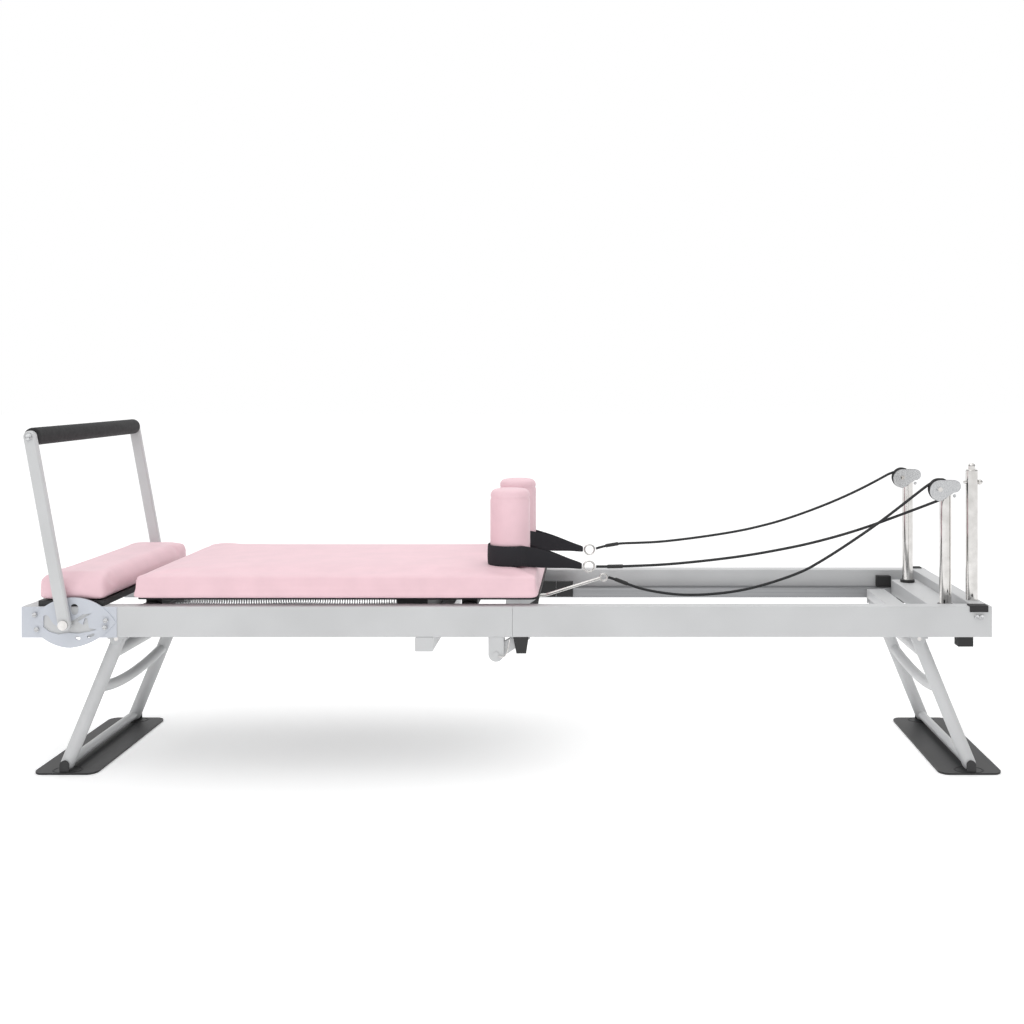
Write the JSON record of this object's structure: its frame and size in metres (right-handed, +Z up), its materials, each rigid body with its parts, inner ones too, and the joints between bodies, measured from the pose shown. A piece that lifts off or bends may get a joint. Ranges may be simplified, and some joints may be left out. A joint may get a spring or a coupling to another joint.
{
  "type": "pilates reformer",
  "caption": "Folding pilates reformer with a sliding padded carriage, tilting footbar, pulley ropes, shoulder rests and folding legs.",
  "frame": {"origin": "on the floor below the middle of the machine's outer box", "axes": "+X from the foot end to the head end, +Y from the near rail to the far rail, +Z up"},
  "size_m": [2.455, 0.666, 0.8803],
  "materials": {
    "frame_paint": "satin powder coat",
    "track_aluminium": "satin anodised",
    "bracket_metal": "satin silver lacquer",
    "chrome": "polished",
    "black_steel": "fine textured powder coat",
    "black_plastic": "moulded",
    "black_rubber": "moulded",
    "foam_grip": "closed-cell foam",
    "pad_vinyl": "soft grain upholstery vinyl",
    "strap_webbing": "woven webbing",
    "rope_braid": "braided",
    "spring_steel": "oiled wire",
    "wheel_plastic": "cast polyurethane",
    "board_black": "black laminate"
  },
  "bodies": {
    "head_frame": {"head_rail_near": "frame_paint", "head_rail_far": "frame_paint", "head_end_beam": "frame_paint", "head_track_near": "track_aluminium", "head_track_far": "track_aluminium", "head_leg_bracket": "frame_paint", "fold_arms": "frame_paint", "fold_locks": "black_plastic", "post_crossmember": "frame_paint", "post_near": "chrome", "post_far": "chrome", "anchor_post": "chrome", "pulley_housing_near": "black_plastic", "pulley_housing_far": "black_plastic", "end_rubbers": "black_rubber", "head_fasteners": "chrome", "rope_near": "rope_braid", "rope_far": "rope_braid"},
    "foot_frame": {"foot_rail_near": "frame_paint", "foot_rail_far": "frame_paint", "foot_end_beam": "frame_paint", "foot_track_near": "track_aluminium", "foot_track_far": "track_aluminium", "foot_leg_bracket": "frame_paint", "foot_cross_tube": "frame_paint", "fold_tabs": "frame_paint", "footbar_bracket_near": "bracket_metal", "footbar_bracket_far": "bracket_metal", "foot_fasteners": "chrome", "foot_pad": "pad_vinyl", "foot_pad_board": "board_black", "spring_bar": "black_steel"},
    "footbar": {"footbar_arm_near": "frame_paint", "footbar_arm_far": "frame_paint", "footbar_tube": "chrome", "footbar_foam": "foam_grip"},
    "foot_legs": {"foot_leg_near": "frame_paint", "foot_leg_far": "frame_paint", "foot_leg_bars": "frame_paint"},
    "head_legs": {"head_leg_near": "frame_paint", "head_leg_far": "frame_paint", "head_leg_bars": "frame_paint"},
    "foot_plate": {"foot_plate": "black_steel"},
    "head_plate": {"head_plate": "black_steel"},
    "carriage": {"carriage_pad": "pad_vinyl", "carriage_board": "board_black", "carriage_frame": "black_steel", "wheel_axles": "chrome", "springs": "spring_steel", "strap_near": "strap_webbing", "strap_far": "strap_webbing", "strap_hardware": "chrome"},
    "shoulder_rest_near": {"shoulder_rest_near": "pad_vinyl"},
    "shoulder_rest_far": {"shoulder_rest_far": "pad_vinyl"},
    "sheave_near": {"sheave_near": "wheel_plastic"},
    "sheave_far": {"sheave_far": "wheel_plastic"},
    "wheel_foot_near": {"wheel_foot_near": "wheel_plastic"},
    "wheel_foot_far": {"wheel_foot_far": "wheel_plastic"},
    "wheel_head_near": {"wheel_head_near": "wheel_plastic"},
    "wheel_head_far": {"wheel_head_far": "wheel_plastic"}
  },
  "joints": [
    {"name": "frame_fold", "type": "hinge", "parent": "head_frame", "child": "foot_frame", "pos_m": [-0.0498, 0, 0.319], "axis": [0, -1, 0], "range_deg": [0, 180]},
    {"name": "foot_legs_fold", "type": "hinge", "parent": "foot_frame", "child": "foot_legs", "pos_m": [-1.016, 0, 0.343], "axis": [0, -1, 0], "range_deg": [0, 112.33]},
    {"name": "head_legs_fold", "type": "hinge", "parent": "head_frame", "child": "head_legs", "pos_m": [1.016, 0, 0.343], "axis": [0, 1, 0], "range_deg": [0, 112.33]},
    {"name": "foot_plate_level", "type": "hinge", "parent": "foot_legs", "child": "foot_plate", "pos_m": [-1.1475, 0, 0.0228], "axis": [0, 1, 0], "range_deg": [0, 112.33]},
    {"name": "head_plate_level", "type": "hinge", "parent": "head_legs", "child": "head_plate", "pos_m": [1.1475, 0, 0.0228], "axis": [0, -1, 0], "range_deg": [0, 112.33]},
    {"name": "footbar_tilt", "type": "hinge", "parent": "foot_frame", "child": "footbar", "pos_m": [-1.1075, 0, 0.397], "axis": [0, 1, 0], "range_deg": [-80, 78]},
    {"name": "carriage_slide", "type": "slide", "parent": "head_frame", "child": "carriage", "axis": [1, 0, 0], "range_m": [0, 0.955], "stiffness_N_per_m": 200, "springref_m": -0.15, "deforming": ["springs", "rope_near", "rope_far"]},
    {"name": "wheel_foot_near_spin", "type": "hinge", "parent": "carriage", "child": "wheel_foot_near", "pos_m": [-0.9225, -0.241, 0.4143], "axis": [0, 1, 0], "continuous": true},
    {"name": "wheel_foot_far_spin", "type": "hinge", "parent": "carriage", "child": "wheel_foot_far", "pos_m": [-0.9225, 0.241, 0.4143], "axis": [0, 1, 0], "continuous": true},
    {"name": "wheel_head_near_spin", "type": "hinge", "parent": "carriage", "child": "wheel_head_near", "pos_m": [-0.1225, -0.241, 0.4143], "axis": [0, 1, 0], "continuous": true},
    {"name": "wheel_head_far_spin", "type": "hinge", "parent": "carriage", "child": "wheel_head_far", "pos_m": [-0.1225, 0.241, 0.4143], "axis": [0, 1, 0], "continuous": true},
    {"name": "sheave_near_spin", "type": "hinge", "parent": "head_frame", "child": "sheave_near", "pos_m": [1.0745, -0.207, 0.719], "axis": [0, 1, 0], "continuous": true},
    {"name": "sheave_far_spin", "type": "hinge", "parent": "head_frame", "child": "sheave_far", "pos_m": [1.0745, 0.153, 0.719], "axis": [0, 1, 0], "continuous": true},
    {"name": "shoulder_rest_near_lift", "type": "slide", "parent": "carriage", "child": "shoulder_rest_near", "axis": [0, 0, 1], "range_m": [0, 0.1]},
    {"name": "shoulder_rest_far_lift", "type": "slide", "parent": "carriage", "child": "shoulder_rest_far", "axis": [0, 0, 1], "range_m": [0, 0.1]}
  ],
  "couplings": [
    {"joint": "foot_legs_fold", "follows": "frame_fold", "ratio": 0.62405},
    {"joint": "head_legs_fold", "follows": "frame_fold", "ratio": 0.62405},
    {"joint": "foot_plate_level", "follows": "frame_fold", "ratio": 0.62405},
    {"joint": "head_plate_level", "follows": "frame_fold", "ratio": 0.62405},
    {"joint": "wheel_foot_near_spin", "follows": "carriage_slide", "rad_per_m": 40},
    {"joint": "wheel_foot_far_spin", "follows": "carriage_slide", "rad_per_m": 40},
    {"joint": "wheel_head_near_spin", "follows": "carriage_slide", "rad_per_m": 40},
    {"joint": "wheel_head_far_spin", "follows": "carriage_slide", "rad_per_m": 40}
  ]
}
